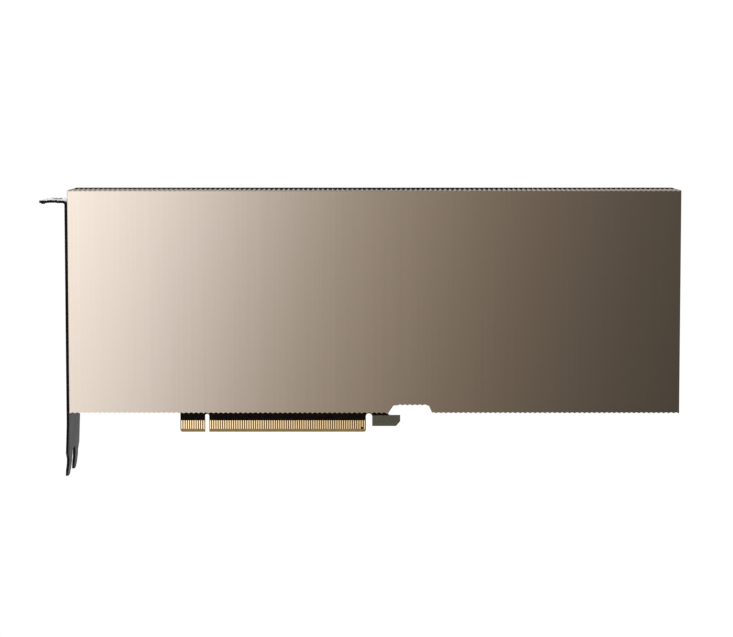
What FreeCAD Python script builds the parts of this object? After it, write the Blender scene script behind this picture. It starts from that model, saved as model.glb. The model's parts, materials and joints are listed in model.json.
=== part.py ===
import FreeCAD, Part
import Sketcher
import os
import sys
import math
from FreeCAD import Vector, Placement, Rotation

# Passive dual-slot accelerator card, full height.
# Frame: +X from the slot bracket towards the air-intake end, +Z up, the
# component side of the circuit board looks towards -Y.
# Origin: centre of the key notch, on the bottom line of the card edge, in the
# component face of the board (y = 0).

doc = FreeCAD.newDocument("AcceleratorCard")
sheet = doc.addObject("Spreadsheet::Sheet", "Params")


class Q:
    """A number together with the spreadsheet expression that gives it."""

    def __init__(self, v, e):
        self.v = float(v)
        self.e = e

    def _mix(self, o, op, rev=False):
        o = q(o)
        a, b = (o, self) if rev else (self, o)
        if op == "+":
            v = a.v + b.v
        elif op == "-":
            v = a.v - b.v
        elif op == "*":
            v = a.v * b.v
        else:
            v = a.v / b.v
        return Q(v, "(%s %s %s)" % (a.e, op, b.e))

    def __add__(self, o):
        return self._mix(o, "+")

    def __radd__(self, o):
        return self._mix(o, "+", True)

    def __sub__(self, o):
        return self._mix(o, "-")

    def __rsub__(self, o):
        return self._mix(o, "-", True)

    def __mul__(self, o):
        return self._mix(o, "*")

    def __rmul__(self, o):
        return self._mix(o, "*", True)

    def __truediv__(self, o):
        return self._mix(o, "/")

    def __neg__(self):
        return Q(-self.v, "(-%s)" % self.e)


def q(o):
    if isinstance(o, Q):
        return o
    return Q(o, "(%.6f)" % o if o < 0 else "%.6f" % o)


rows = [0]


def dim(alias, value, note):
    rows[0] += 1
    n = rows[0]
    sheet.set("A%d" % n, alias)
    sheet.set("B%d" % n, "%.5f" % value)
    sheet.set("C%d" % n, note)
    sheet.setAlias("B%d" % n, alias)
    return Q(value, "Params." + alias)


# ---------------------------------------------------------------- dimensions
cov_x0 = dim("cover_left", -58.20, "left end of the cover")
cov_x1 = dim("cover_right", 210.05, "right end of the cover")
cov_z0 = dim("cover_bottom", 12.97, "cusp line of the bottom flutes")
cov_z1 = dim("cover_top", 111.05, "cusp line of the top flutes")
cov_yf = dim("cover_front", -34.77, "outer face of the cover plate")
cov_yr = dim("cover_rear", -10.00, "rear edge of the cover walls")
cov_t = dim("cover_plate", 1.60, "cover plate thickness")
cov_w = dim("cover_wall", 1.80, "cover side wall thickness")
cov_ch = dim("cover_edge_round", 0.25, "rounding of the front edges of the cover")
fl_n = dim("flute_count", 123, "flutes on each long wall")
fl_p = dim("flute_pitch", 2.1755, "flute pitch")
fl_r = dim("flute_radius", 1.50, "flute radius")
fl_d = dim("flute_depth", 0.43, "flute depth")
fl_x = dim("flute_first", -56.742, "centre of the first flute")
nt_l0 = dim("notch_left_low", 82.10, "cut-out, left corner on the edge")
nt_l1 = dim("notch_left_high", 84.40, "cut-out, left corner at the top")
nt_r1 = dim("notch_right_high", 99.90, "cut-out, right corner at the top")
nt_r0 = dim("notch_right_low", 101.50, "cut-out, right corner on the edge")
nt_z = dim("notch_top", 16.45, "cut-out, cusp line of its top edge")
nt_f = dim("notch_round", 0.80, "cut-out corner radius")
fr_z0 = dim("frame_bottom", 13.40, "base frame lower edge")
fr_z1 = dim("frame_top", 111.05, "base frame upper edge")
fr_w = dim("frame_rail", 7.00, "base frame rail width")
fr_e0 = dim("frame_end_left", 8.20, "left end bar width")
fr_e1 = dim("frame_end_right", 6.00, "right end bar width")
mp_y0 = dim("midplate_front", -8.40, "front face of the frame plate")
mp_y1 = dim("midplate_rear", -6.40, "rear face of the frame plate")
pcb_t = dim("board_thickness", 1.57, "circuit board thickness")
pcb_x0 = dim("board_left", -57.20, "circuit board left edge")
pcb_x1 = dim("board_right", 209.40, "circuit board right edge")
pcb_z0 = dim("board_bottom", 9.60, "board edge beside the card edge")
pcb_z1 = dim("board_top", 110.60, "board top edge")
pcb_zr = dim("board_bottom_right", 13.60, "board edge right of the cut-out")
tg_x0 = dim("tongue_left", -12.15, "card edge, left side")
tg_x1 = dim("tongue_right", 72.15, "card edge, right side")
ky_w = dim("key_half", 0.95, "half width of the key notch")
ky_h = dim("key_height", 8.25, "height of the key notch")
bv_h = dim("bevel_height", 1.40, "bevel height of the card edge")
bv_d = dim("bevel_depth", 0.50, "bevel depth of the card edge")
hk_x0 = dim("hook_left", 75.04, "retention hook, left side")
hk_x1 = dim("hook_right", 87.77, "retention hook, right end")
hk_z0 = dim("hook_bottom", 2.70, "retention hook, lower edge")
hk_z1 = dim("hook_top", 7.57, "retention hook, upper edge")
pd_p = dim("contact_pitch", 1.00, "contact pitch")
pd_w = dim("contact_width", 0.70, "contact width")
pd_z0 = dim("contact_low", 1.40, "contact lower end")
pd_z1 = dim("contact_high", 5.30, "contact upper end")
pd_t = dim("contact_plate", 0.04, "contact thickness")
br_t = dim("bracket_sheet", 1.15, "bracket sheet thickness")
br_y0 = dim("bracket_near", -34.77, "bracket edge, component side")
br_y1 = dim("bracket_far", 3.97, "bracket edge, solder side")
br_z1 = dim("bracket_tab_top", 106.55, "top face of the bracket tab")
br_zs = dim("bracket_shoulder", -4.80, "where the tongues of the bracket start")
br_z0 = dim("bracket_tip", -15.70, "lower end of the bracket tongues")
br_tab = dim("bracket_tab_reach", 12.34, "tab reach from the inner face")
br_kick = dim("bracket_tip_kick", 1.40, "outward offset of the tongue tips")
br_lean = dim("bracket_lean", 0.65, "outward offset where the tongue tips turn out")
br_zl = dim("bracket_lean_start", 8.00, "height where the plate starts to lean out")
br_ri = dim("bracket_bend", 0.80, "inner bend radius")
tl_w = dim("tongue_width", 10.19, "bracket tongue width")
tl_s = dim("slot_spacing", 20.32, "spacing of the two expansion slots")
tl_y = dim("slot_centre", -5.24, "middle of the far bracket tongue")
bp_y0 = dim("backplate_inner", 2.70, "backplate, inner face")
bp_y1 = dim("backplate_outer", 3.90, "backplate, outer face")
sc_r = dim("screw_shank", 1.25, "screw shank radius")
sc_h = dim("screw_head", 2.30, "screw head radius")
sc_k = dim("screw_head_height", 0.80, "screw head height")
rw_zt = dim("screw_row_top", 107.00, "upper screw row")
rw_zb = dim("screw_row_bottom", 17.20, "lower screw row")
gp_x = dim("processor_x", 60.00, "processor centre, x")
gp_z = dim("processor_z", 62.00, "processor centre, z")
gp_s = dim("package_half", 27.50, "half side of the package")
gp_y = dim("package_height", 1.60, "package height over the board")
di_y = dim("die_top", 2.50, "die and memory top over the board")
vc_x0 = dim("chamber_left", -46.00, "vapour chamber left end")
vc_x1 = dim("chamber_right", 188.00, "vapour chamber right end")
vc_z0 = dim("chamber_bottom", 22.00, "vapour chamber lower edge")
vc_z1 = dim("chamber_top", 102.20, "vapour chamber upper edge")
vc_y0 = dim("chamber_front", -12.00, "vapour chamber front face")
vc_y1 = dim("chamber_rear", -8.50, "vapour chamber rear face")
fn_y0 = dim("fin_tip", -32.90, "fin tips")
fn_t = dim("fin_sheet", 0.35, "fin sheet thickness")
fn_n = dim("fin_count", 41, "number of fins")
hs_d = dim("spring_screw_offset", 30.50, "spring screw offset from the centre")
ef_x0 = dim("end_frame_inner", 205.05, "end frame inner face")
pc_x0 = dim("connector_back", 191.00, "power connector back")
pc_x1 = dim("connector_face", 209.00, "power connector face")
pc_z = dim("connector_middle", 93.20, "power connector middle height")
pc_p = dim("connector_pitch", 4.20, "power connector pitch")
doc.recompute()

cov_zi0 = cov_z0 + cov_w
cov_zi1 = cov_z1 - cov_w
cov_yi = cov_yf + cov_t


# ------------------------------------------------------------------- helpers
nodes = []


def new_body(label):
    b = doc.addObject("PartDesign::Body", label)
    b.Label = label
    b.AllowCompound = True
    nodes.append(b)
    return b


def plane(b, role):
    return [o for o in b.Origin.OriginFeatures if o.Role == role][0]


def bind(obj, prop, val):
    obj.setExpression(prop, q(val).e)


def sketch(b, role, off):
    s = b.newObject("Sketcher::SketchObject", b.Label + "_sketch")
    s.AttachmentSupport = [(plane(b, role), "")]
    s.MapMode = "FlatFace"
    o = q(off)
    s.AttachmentOffset = Placement(Vector(0, 0, o.v), Rotation())
    s.setExpression(".AttachmentOffset.Base.z", o.e)
    return s


def fix(s, gi, pos, x, y):
    x, y = q(x), q(y)
    if abs(x.v) < 1e-9:
        s.addConstraint(Sketcher.Constraint("PointOnObject", gi, pos, -2))
    else:
        c = s.addConstraint(Sketcher.Constraint("DistanceX", -1, 1, gi, pos, x.v))
        s.setExpression("Constraints[%d]" % c, x.e)
    if abs(y.v) < 1e-9:
        s.addConstraint(Sketcher.Constraint("PointOnObject", gi, pos, -1))
    else:
        c = s.addConstraint(Sketcher.Constraint("DistanceY", -1, 1, gi, pos, y.v))
        s.setExpression("Constraints[%d]" % c, y.e)


def poly(s, pts):
    pts = [(q(a), q(b)) for a, b in pts]
    n0 = s.GeometryCount
    n = len(pts)
    for i in range(n):
        a, b = pts[i], pts[(i + 1) % n]
        s.addGeometry(Part.LineSegment(Vector(a[0].v, a[1].v, 0), Vector(b[0].v, b[1].v, 0)), False)
    for i in range(n):
        s.addConstraint(Sketcher.Constraint("Coincident", n0 + i, 2, n0 + (i + 1) % n, 1))
    for i in range(n):
        fix(s, n0 + i, 1, pts[i][0], pts[i][1])


def rect(s, x0, y0, x1, y1):
    poly(s, [(x0, y0), (x1, y0), (x1, y1), (x0, y1)])


def ring(s, cx, cy, r):
    cx, cy, r = q(cx), q(cy), q(r)
    g = s.addGeometry(Part.Circle(Vector(cx.v, cy.v, 0), Vector(0, 0, 1), r.v), False)
    fix(s, g, 3, cx, cy)
    c = s.addConstraint(Sketcher.Constraint("Radius", g, r.v))
    s.setExpression("Constraints[%d]" % c, r.e)


def slot_y(s, cx, cy, half, r):
    """Obround, long in the sketch's first direction."""
    cx, cy, half, r = q(cx), q(cy), q(half), q(r)
    a = cx - half
    b = cx + half
    n = s.GeometryCount
    ca = Part.Circle(Vector(a.v, cy.v, 0), Vector(0, 0, 1), r.v)
    cb = Part.Circle(Vector(b.v, cy.v, 0), Vector(0, 0, 1), r.v)
    s.addGeometry(Part.ArcOfCircle(ca, math.pi / 2, 3 * math.pi / 2), False)
    s.addGeometry(Part.ArcOfCircle(cb, -math.pi / 2, math.pi / 2), False)
    s.addGeometry(Part.LineSegment(Vector(a.v, cy.v - r.v, 0), Vector(b.v, cy.v - r.v, 0)), False)
    s.addGeometry(Part.LineSegment(Vector(b.v, cy.v + r.v, 0), Vector(a.v, cy.v + r.v, 0)), False)
    s.addConstraint(Sketcher.Constraint("Tangent", n, 2, n + 2, 1))
    s.addConstraint(Sketcher.Constraint("Tangent", n + 2, 2, n + 1, 1))
    s.addConstraint(Sketcher.Constraint("Tangent", n + 1, 2, n + 3, 1))
    s.addConstraint(Sketcher.Constraint("Tangent", n + 3, 2, n, 1))
    fix(s, n, 3, a, cy)
    fix(s, n + 1, 3, b, cy)
    c = s.addConstraint(Sketcher.Constraint("Radius", n, r.v))
    s.setExpression("Constraints[%d]" % c, r.e)


def hexagon(s, cx, cy, r):
    cx, cy, r = q(cx), q(cy), q(r)
    poly(s, [(cx + r * round(math.cos(math.radians(60 * k)), 6),
              cy + r * round(math.sin(math.radians(60 * k)), 6)) for k in range(6)])


# The three extrusion directions: a feature runs from lo to hi along the axis.
# XZ sketches look towards -Y, so their offset is counted along -Y.
ROLE = {"x": "YZ_Plane", "y": "XZ_Plane", "z": "XY_Plane"}


def add(b, axis, lo, hi, draw, cut=False):
    lo, hi = q(lo), q(hi)
    s = sketch(b, ROLE[axis], -hi if axis == "y" else lo)
    draw(s)
    doc.recompute()
    before = b.Tip.Shape.Volume if b.Tip is not None and cut else 0.0
    kind = "PartDesign::Pocket" if cut else "PartDesign::Pad"
    f = b.newObject(kind, b.Label + ("_cut" if cut else "_pad"))
    f.Profile = s
    f.Length = hi.v - lo.v
    bind(f, "Length", hi - lo)
    if cut:
        f.Reversed = True
    doc.recompute()
    if cut and not f.Shape.Volume < before - 1e-7:
        raise RuntimeError("a cut of %s removes nothing" % b.Label)
    return f


def cut(b, axis, lo, hi, draw):
    return add(b, axis, lo, hi, draw, True)


def pattern(b, feats, axis, count, step):
    """Linear pattern of features along an origin axis."""
    count, step = q(count), q(step)
    p = b.newObject("PartDesign::LinearPattern", b.Label + "_row")
    p.Originals = feats
    role = {"x": "X_Axis", "y": "Y_Axis", "z": "Z_Axis"}[axis]
    p.Direction = (plane(b, role), [""])
    p.Occurrences = int(round(count.v))
    p.setExpression("Occurrences", count.e)
    p.Length = step.v * (count.v - 1)
    bind(p, "Length", step * (count - 1))
    b.Tip = p
    doc.recompute()
    return p


def edges_of(shape, test):
    out = []
    for i, e in enumerate(shape.Edges):
        if test(e):
            out.append("Edge%d" % (i + 1))
    return out


def at(v, w, tol=1e-4):
    return abs(v - w) < tol


def dress(b, kind, names, prop, size):
    base = b.Tip
    f = b.newObject("PartDesign::" + kind, b.Label + "_" + kind.lower())
    f.Base = (base, names)
    setattr(f, prop, q(size).v)
    bind(f, prop, size)
    doc.recompute()
    return f


def upright(e, pts, axis):
    """Edge parallel to an axis that passes one of the points (x, y, z; None = any)."""
    if len(e.Vertexes) != 2:
        return False
    a, c = e.Vertexes[0].Point, e.Vertexes[1].Point
    k = {"x": 0, "y": 1, "z": 2}[axis]
    for j in range(3):
        if j != k and abs(a[j] - c[j]) > 1e-4:
            return False
    if abs(a[k] - c[k]) < 1e-4:
        return False
    for p in pts:
        if all(p[j] is None or j == k or abs(a[j] - p[j]) < 1e-3 for j in range(3)):
            return True
    return False


# Screw positions in the plane of the board
cover_top_x = [-45.0, 45.0, 120.0, 190.0]
cover_low_x = [-45.0, 20.0, 120.0, 190.0]
cover_pts = [(q(x), rw_zt) for x in cover_top_x] + [(q(x), rw_zb) for x in cover_low_x]
end_x = ef_x0 + 2.5
end_pts = [(end_x, q(106.1)), (end_x, q(18.4))]
rib_a = q(-3.5)
rib_b = q(130.5)
plate_pts = [(x, q(z)) for x in (rib_a, rib_b) for z in (35.0, 62.0, 89.0)]
spring_pts = [(gp_x + hs_d * sx, gp_z + hs_d * sz) for sx in (-1, 1) for sz in (-1, 1)]
bracket_hi = [(q(-28.0), q(101.8)), (q(-28.0), q(19.4))]
bracket_lo = [(q(-5.0), q(101.8)), (q(-5.0), q(19.4))]


def rings(pts, r):
    def draw(s):
        for x, z in pts:
            ring(s, x, z, r)
    return draw


def boxes(items):
    def draw(s):
        for x0, z0, x1, z1 in items:
            rect(s, x0, z0, x1, z1)
    return draw


def notch_shape(top, low, grow):
    """Cut-out in the lower edge, as a trapezium; grow widens it."""
    def draw(s):
        k = 1.0
        poly(s, [(nt_l0 - grow - 0.66 * k, low), (nt_l1 - grow, top),
                 (nt_r1 + grow, top), (nt_r0 + grow + 0.5 * k, low)])
    return draw


# ---------------------------------------------------------------- front cover
b = new_body("front_cover")
add(b, "y", cov_yf, cov_yr, boxes([(cov_x0, cov_z0, cov_x1, cov_z1)]))


def cover_notch(s):
    poly(s, [(nt_l0 - 0.66, cov_z0 - 1.0), (nt_l0, cov_z0), (nt_l1, nt_z),
             (nt_r1, nt_z), (nt_r0, cov_z0), (nt_r0 + 0.46, cov_z0 - 1.0)])


cut(b, "y", cov_yf - 1, cov_yr + 1, cover_notch)
nm = edges_of(b.Tip.Shape, lambda e: upright(e, [(nt_l1.v, None, nt_z.v), (nt_r1.v, None, nt_z.v)], "y"))
dress(b, "Fillet", nm, "Radius", nt_f)
nm = edges_of(b.Tip.Shape, lambda e: all(at(v.Point.y, cov_yf.v) for v in e.Vertexes))
dress(b, "Fillet", nm, "Radius", cov_ch)


def cover_inside(s):
    poly(s, [(cov_x0 - 1, cov_zi0), (nt_l0 - 2.0, cov_zi0), (nt_l1 - 2.0, nt_z + cov_w),
             (nt_r1 + 2.0, nt_z + cov_w), (nt_r0 + 2.0, cov_zi0), (cov_x1 + 1, cov_zi0),
             (cov_x1 + 1, cov_zi1), (cov_x0 - 1, cov_zi1)])


cut(b, "y", cov_yi, cov_yr + 1, cover_inside)
# posts for the long screws, and two corner blocks for the bracket
add(b, "y", cov_yi - 0.2, cov_yr, rings(cover_pts, 2.8))
add(b, "y", cov_yi - 0.2, q(-23.0), boxes([
    (cov_x0, q(98.6), cov_x0 + 9.0, cov_zi1 + 0.3),
    (cov_x0, cov_zi0 - 0.3, cov_x0 + 9.0, q(23.4))]))
cut(b, "y", q(-16.5), cov_yr + 1, rings(cover_pts, sc_r))
cut(b, "x", cov_x0 - 1, cov_x0 + 7.0, rings(bracket_hi, sc_r))
# flutes along the two long walls
top_f = cut(b, "y", cov_yf - 1, cov_yr + 1, rings([(fl_x, cov_z1 - fl_d + fl_r)], fl_r))
pattern(b, [top_f], "x", fl_n, fl_p)
low_l = cut(b, "y", cov_yf - 1, cov_yr + 1, rings([(fl_x, cov_z0 + fl_d - fl_r)], fl_r))
pattern(b, [low_l], "x", 64, fl_p)
nx = fl_x + fl_p * 65
cut(b, "y", cov_yf - 1, cov_yr + 1, rings([(q(87.3) + fl_p * k, nt_z + fl_d - fl_r) for k in range(6)], fl_r))
low_r = cut(b, "y", cov_yf - 1, cov_yr + 1, rings([(fl_x + fl_p * 73, cov_z0 + fl_d - fl_r)], fl_r))
pattern(b, [low_r], "x", 50, fl_p)

# ----------------------------------------------------------------- base frame
b = new_body("base_frame")
add(b, "y", cov_yr, 0, boxes([(cov_x0, fr_z0, cov_x1, fr_z1)]))
in_x0 = cov_x0 + fr_e0
in_x1 = cov_x1 - fr_e1
in_z0 = fr_z0 + fr_w
in_z1 = fr_z1 - fr_w


def frame_notch(s):
    poly(s, [(nt_l0 - 1.2, fr_z0 - 1.0), (nt_l0 - 0.6, fr_z0), (nt_l1 - 0.6, nt_z + 0.7),
             (nt_r1 + 0.6, nt_z + 0.7), (nt_r0 + 0.6, fr_z0), (nt_r0 + 1.2, fr_z0 - 1.0)])


cut(b, "y", cov_yr - 1, 1, frame_notch)
cut(b, "y", cov_yr - 1, mp_y0, boxes([(in_x0, in_z0, in_x1, in_z1)]))
cut(b, "y", mp_y1, 1, boxes([(in_x0, in_z0, in_x1, in_z1)]))
# window for the processor, and the corner for the power connector
cut(b, "y", mp_y0 - 1, mp_y1 + 1, boxes([
    (gp_x - 34.0, gp_z - 34.0, gp_x + 34.0, gp_z + 34.0),
    (q(189.0), pc_z - 10.6, in_x1, in_z1)]))
cut(b, "y", cov_yr - 1, 1, boxes([(in_x1 - 0.5, pc_z - 10.2, cov_x1 + 1, pc_z + 10.2)]))
# two cross ribs down to the board, and two bars over the power stages
add(b, "y", mp_y1 - 0.2, 0, boxes([(rib_a - 2.5, in_z0 - 0.5, rib_a + 2.5, in_z1 + 0.5),
                                   (rib_b - 2.5, in_z0 - 0.5, rib_b + 2.5, in_z1 + 0.5)]))
add(b, "y", mp_y1 - 0.2, q(-2.0), boxes([(q(17.0), q(23.0), q(22.5), q(95.0)),
                                         (q(98.5), q(23.0), q(104.0), q(95.0))]))
cut(b, "y", cov_yr - 1, 1, rings(cover_pts + end_pts, sc_r + 0.1))
cut(b, "y", q(-5.5), 1, rings(plate_pts, sc_r))
cut(b, "x", cov_x0 - 1, cov_x0 + 7.0, rings(bracket_lo, sc_r))

# ------------------------------------------------------------- rear end frame
b = new_body("rear_end_frame")
add(b, "x", ef_x0, cov_x1, boxes([(cov_yi, cov_zi0, cov_yr, cov_zi1)]))
cut(b, "x", ef_x0 - 1, cov_x1 + 1, lambda s: poly(s, [
    (q(-31.2), q(22.0)), (q(-12.0), q(22.0)), (q(-12.0), pc_z - 10.2),
    (cov_yr + 1, pc_z - 10.2), (cov_yr + 1, pc_z + 10.2), (q(-31.2), pc_z + 10.2)]))
tap = [(q(-28.0), q(106.1)), (q(-17.0), q(106.1)), (q(-28.0), q(18.4)), (q(-17.0), q(18.4))]
cut(b, "x", ef_x0 - 1, cov_x1 + 1, rings(tap, 1.25))
cut(b, "y", q(-14.2), cov_yr + 1, rings(end_pts, sc_r))
nm = edges_of(b.Tip.Shape, lambda e: upright(e, [(None, -31.2, 22.0), (None, -31.2, pc_z.v + 10.2), (None, -12.0, 22.0)], "x"))
dress(b, "Fillet", nm, "Radius", 2.0)

# ------------------------------------------------------------------ backplate
b = new_body("backplate")
add(b, "y", bp_y0, bp_y1, boxes([(pcb_x0, pcb_zr, pcb_x1, pcb_z1)]))
add(b, "y", pcb_t, bp_y0 + 0.1, boxes([
    (pcb_x0, pcb_z1 - 6.6, pcb_x1, pcb_z1), (pcb_x0, pcb_zr, pcb_x1, pcb_zr + 6.9),
    (pcb_x0, pcb_zr + 6.0, pcb_x0 + 5.0, pcb_z1 - 6.0),
    (pcb_x1 - 5.0, pcb_zr + 6.0, pcb_x1, pcb_z1 - 6.0)][:1]))
add(b, "y", pcb_t, bp_y0 + 0.1, boxes([(pcb_x0, pcb_zr, pcb_x1, pcb_zr + 6.9)]))
add(b, "y", pcb_t, bp_y0 + 0.1, boxes([
    (pcb_x0, pcb_zr + 6.0, pcb_x0 + 5.0, pcb_z1 - 6.0),
    (pcb_x1 - 5.0, pcb_zr + 6.0, pcb_x1, pcb_z1 - 6.0)]))
add(b, "y", pcb_t, bp_y0 + 0.1, rings(plate_pts, 3.2))
cut(b, "y", pcb_t - 1, bp_y1 + 1, frame_notch)
cut(b, "y", pcb_t - 1, bp_y1 + 1, rings(cover_pts + end_pts + plate_pts, sc_r + 0.1))
cut(b, "y", bp_y1 - sc_k, bp_y1 + 1, rings(cover_pts + end_pts + plate_pts, sc_h + 0.1))
cut(b, "y", pcb_t - 1, bp_y1 + 1, rings(spring_pts, 4.2))
# a shallow recessed field, and a row of slots beside it
cut(b, "y", bp_y1 - 0.35, bp_y1 + 1, boxes([
    (pcb_x0 + 10.0, q(26.0), rib_a - 6.0, q(98.0)),
    (rib_b + 6.0, q(26.0), pcb_x1 - 10.0, q(98.0))]))
nm = edges_of(b.Tip.Shape, lambda e: upright(e, [(x, None, z) for x in (
    pcb_x0.v + 10, rib_a.v - 6, rib_b.v + 6, pcb_x1.v - 10) for z in (26.0, 98.0)], "y"))
dress(b, "Fillet", nm, "Radius", 3.0)
nm = edges_of(b.Tip.Shape, lambda e: upright(e, [(pcb_x0.v, None, pcb_z1.v), (pcb_x1.v, None, pcb_z1.v),
                                                (pcb_x0.v, None, pcb_zr.v), (pcb_x1.v, None, pcb_zr.v)], "y"))
dress(b, "Fillet", nm, "Radius", 1.5)

# -------------------------------------------------------------- circuit board
b = new_body("circuit_board")


def board_outline(s):
    poly(s, [(pcb_x0, pcb_z0), (tg_x0, pcb_z0), (tg_x0, 0.6), (tg_x0 + 0.6, 0), (tg_x1 - 0.6, 0),
             (tg_x1, 0.6), (tg_x1, pcb_z0), (hk_x0, pcb_z0), (hk_x0, hk_z0), (hk_x1 - 1.9, hk_z0),
             (hk_x1, hk_z0 + 2.2), (hk_x1, hk_z1), (q(82.9), hk_z1), (q(81.0), q(9.35)),
             (q(81.0), q(10.6)), (nt_l1 - 0.9, nt_z + 0.9), (nt_r1 + 0.9, nt_z + 0.9),
             (nt_r0 + 1.4, pcb_zr), (pcb_x1, pcb_zr), (pcb_x1, pcb_z1), (pcb_x0, pcb_z1)])


add(b, "y", 0, pcb_t, board_outline)
cut(b, "y", -1, pcb_t + 1, boxes([(-ky_w, -1, ky_w, ky_h - ky_w)]))
cut(b, "y", -1, pcb_t + 1, rings([(0, ky_h - ky_w)], ky_w))
gap_r = (hk_x0 - tg_x1) / 2
gap_z = q(8.5) - gap_r
# the land between card edge and hook is filled down to the round slot end
add(b, "y", 0, pcb_t, boxes([(tg_x1 - 0.2, gap_z, hk_x0 + 0.2, pcb_z0 + 0.1)]))
cut(b, "y", -1, pcb_t + 1, rings([(tg_x1 + gap_r, gap_z)], gap_r))
cut(b, "x", tg_x0 - 1, tg_x1 + 1, lambda s: poly(s, [(0, bv_h), (bv_d, 0), (bv_d, -1), (-1, -1), (-1, bv_h)]))
cut(b, "x", tg_x0 - 1, tg_x1 + 1, lambda s: poly(s, [
    (pcb_t, bv_h), (pcb_t - bv_d, 0), (pcb_t - bv_d, -1), (pcb_t + 1, -1), (pcb_t + 1, bv_h)]))
cut(b, "y", -1, pcb_t + 1, rings(cover_pts + end_pts + plate_pts, sc_r + 0.1))
cut(b, "y", -1, pcb_t + 1, rings(spring_pts, 1.6))

# -------------------------------------------------------------- card contacts
for label, y0, y1, short in (("front_contacts", -pd_t, q(0), True), ("back_contacts", pcb_t, pcb_t + pd_t, False)):
    b = new_body(label)
    hw = pd_w / 2
    f = add(b, "y", y0, y1, boxes([(q(-11.5) * pd_p - hw, pd_z0, q(-11.5) * pd_p + hw, pd_z1)]))
    pattern(b, [f], "x", 11, pd_p)
    f = add(b, "y", y0, y1, boxes([(1.5 * pd_p - hw, pd_z0, 1.5 * pd_p + hw, pd_z1)]))
    pattern(b, [f], "x", 69, pd_p)
    low = pd_z0 + 0.9 if short else pd_z0
    add(b, "y", y0, y1, boxes([(70.5 * pd_p - hw, low, 70.5 * pd_p + hw, pd_z1),
                               (71.5 * pd_p - hw, pd_z0, 71.5 * pd_p + hw, pd_z1)]))

# ----------------------------------------------------------------- io bracket
b = new_body("io_bracket")
bx1 = cov_x0
bx0 = cov_x0 - br_t
kz = q(-10.0)


def bracket_profile(s):
    poly(s, [(bx1, br_z1), (bx1 - br_tab, br_z1), (bx1 - br_tab, br_z1 - br_t), (bx0, br_z1 - br_t),
             (bx0, br_zl), (bx0 - br_lean, kz), (bx0 - br_kick, br_z0), (bx1 - br_kick, br_z0),
             (bx1 - br_lean, kz), (bx1, br_zl)])


add(b, "y", br_y0, br_y1, bracket_profile)
nm = edges_of(b.Tip.Shape, lambda e: upright(e, [(bx0.v, None, br_z1.v - br_t.v)], "y"))
dress(b, "Fillet", nm, "Radius", br_ri)
nm = edges_of(b.Tip.Shape, lambda e: upright(e, [(bx1.v, None, br_z1.v)], "y"))
dress(b, "Fillet", nm, "Radius", br_ri + br_t)
far0 = tl_y - tl_w / 2
far1 = tl_y + tl_w / 2
near0 = far0 - tl_s
near1 = far1 - tl_s
zc = br_z0 - 1
cut(b, "x", bx0 - 4, bx1 + 1, lambda s: poly(s, [
    (br_y0 - 1, br_zs), (br_y0, br_zs), (near0, br_zs - 3.1), (near0, br_z0 + 2.2), (near0 + 2.0, br_z0), (near0 + 2.0, zc), (br_y0 - 1, zc)]))
cut(b, "x", bx0 - 4, bx1 + 1, lambda s: poly(s, [
    (near1 + 0.6, br_zs), (far0 - 0.4, br_zs), (far0 + 1.5, br_z0 + 2.2), (far0 + 3.2, br_z0), (far0 + 3.2, zc),
    (near1 - 3.1, zc), (near1 - 3.1, br_z0), (near1 - 1.2, br_z0 + 2.2)]))
cut(b, "x", bx0 - 4, bx1 + 1, lambda s: poly(s, [
    (br_y1 + 1, br_zs), (br_y1, br_zs), (far1, br_zs - 3.1), (far1, br_z0 + 2.2), (far1 - 2.0, br_z0), (far1 - 2.0, zc), (br_y1 + 1, zc)]))
# hold-down notches of the tab: an open one and a long closed one
nx0 = q(-64.9)
cut(b, "z", br_z1 - br_t - 1, br_z1 + 1, lambda s: rect(s, nx0 - 2.21, br_y0 - 1, nx0 + 2.21, br_y0 + 2.5))
cut(b, "z", br_z1 - br_t - 1, br_z1 + 1, rings([(nx0, br_y0 + 2.5)], 2.21))
cut(b, "z", br_z1 - br_t - 1, br_z1 + 1, lambda s: rect(s, nx0 - 2.21, q(-17.0), nx0 + 2.21, q(-12.0)))
cut(b, "z", br_z1 - br_t - 1, br_z1 + 1, rings([(nx0, q(-17.0)), (nx0, q(-12.0))], 2.21))
# small stop nib under the outer corner of the tab
add(b, "z", br_z1 - br_t - 0.35, br_z1 - br_t + 0.05, rings([(bx1 - br_tab + 1.75, br_y0 + 1.3)], 0.85))
# exhaust slots
vent = cut(b, "x", bx0 - 1, bx1 + 1, lambda s: [slot_y(s, yc, 29.0, 2.9, 1.4) for yc in (-27.1, -16.9)])
pattern(b, [vent], "z", 16, 4.3)
cut(b, "x", bx0 - 1, bx1 + 1, rings(bracket_hi + bracket_lo, sc_r + 0.1))
# countersinks for the four flat-head screws
nm = edges_of(b.Tip.Shape, lambda e: e.Curve.TypeId == "Part::GeomCircle" and at(e.Curve.Radius, sc_r.v + 0.1)
              and at(e.BoundBox.XMin, bx0.v) and at(e.BoundBox.XMax, bx0.v))
if len(nm) != 4:
    raise RuntimeError("countersinks: %d rims found" % len(nm))
dress(b, "Chamfer", nm, "Size", 1.0)
nm = edges_of(b.Tip.Shape, lambda e: upright(e, [(bx1.v - br_tab.v, br_y0.v, None), (bx1.v - br_tab.v, br_y1.v, None)], "z"))
dress(b, "Fillet", nm, "Radius", 1.2)

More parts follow.
